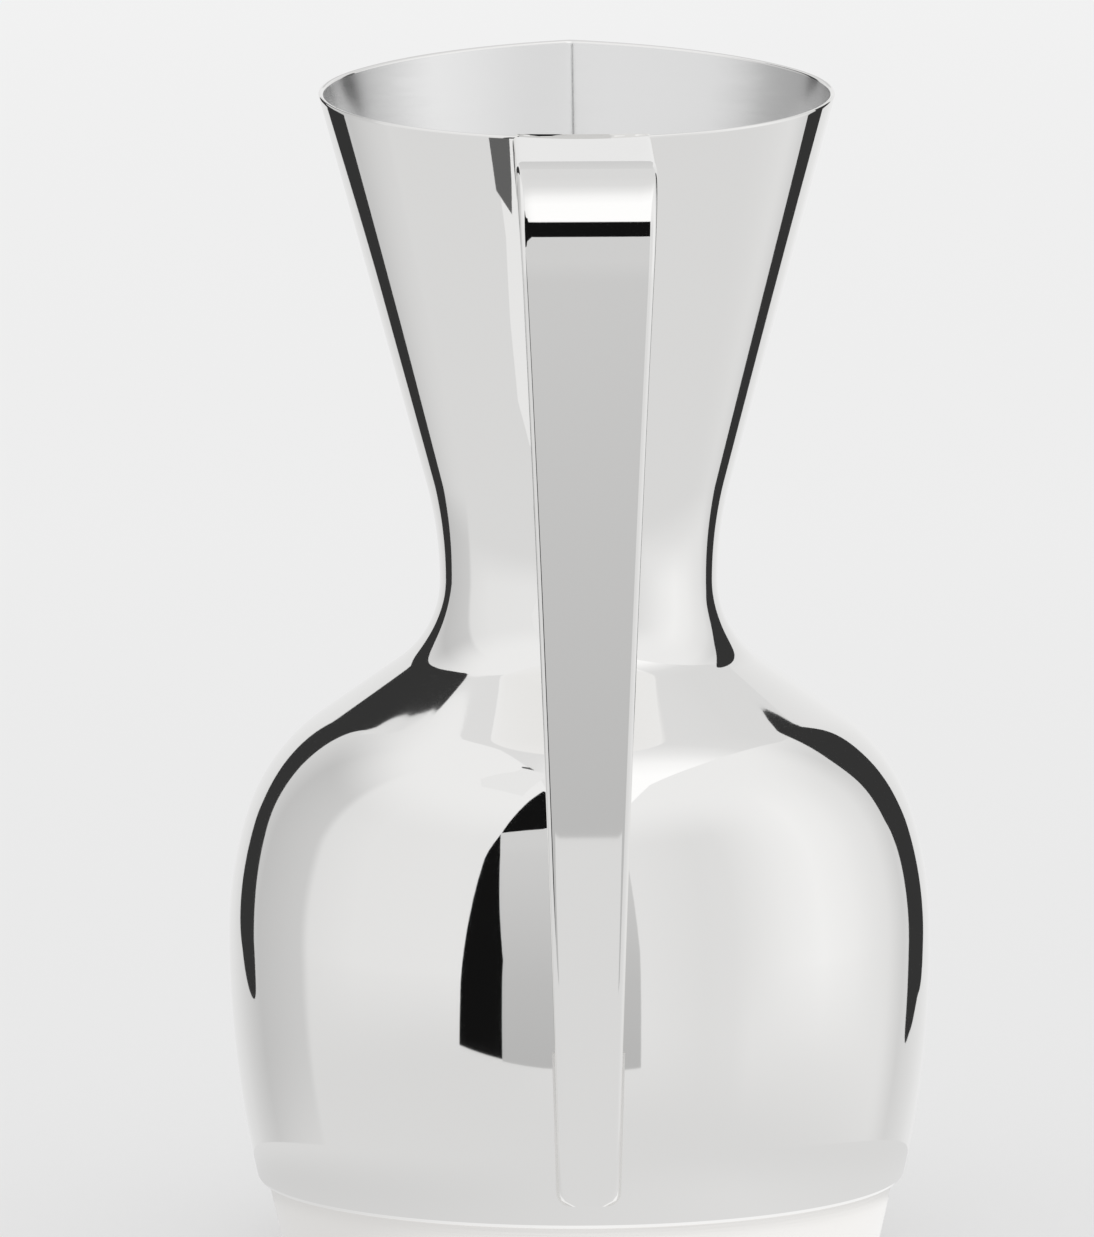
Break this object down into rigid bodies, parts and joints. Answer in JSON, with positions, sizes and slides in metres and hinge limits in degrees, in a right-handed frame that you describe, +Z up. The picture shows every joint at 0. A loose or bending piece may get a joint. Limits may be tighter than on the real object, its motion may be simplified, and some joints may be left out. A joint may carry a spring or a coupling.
{
  "type": "water pitcher",
  "caption": "Silver water pitcher with a round belly, flared neck, pinched pouring lip and a flat tapering strap handle",
  "frame": {"origin": "on the pitcher's axis, in the plane it stands on", "axes": "+Z up, the pouring lip to +Y, the handle to -Y, +X completes a right-handed frame"},
  "size_m": [0.145, 0.168, 0.2459],
  "materials": {
    "polished_silver": "mirror polished",
    "plain_silver": "pressed, not polished",
    "satin_silver": "satin",
    "solder": "cleaned silver solder"
  },
  "bodies": {
    "root": {"neck": "polished_silver", "body": "polished_silver", "base_plate": "plain_silver", "foot_band": "satin_silver", "handle": "polished_silver", "handle_top_solder": "solder", "handle_foot_solder": "solder", "throat_solder": "solder", "foot_solder": "solder"}
  },
  "joints": []
}
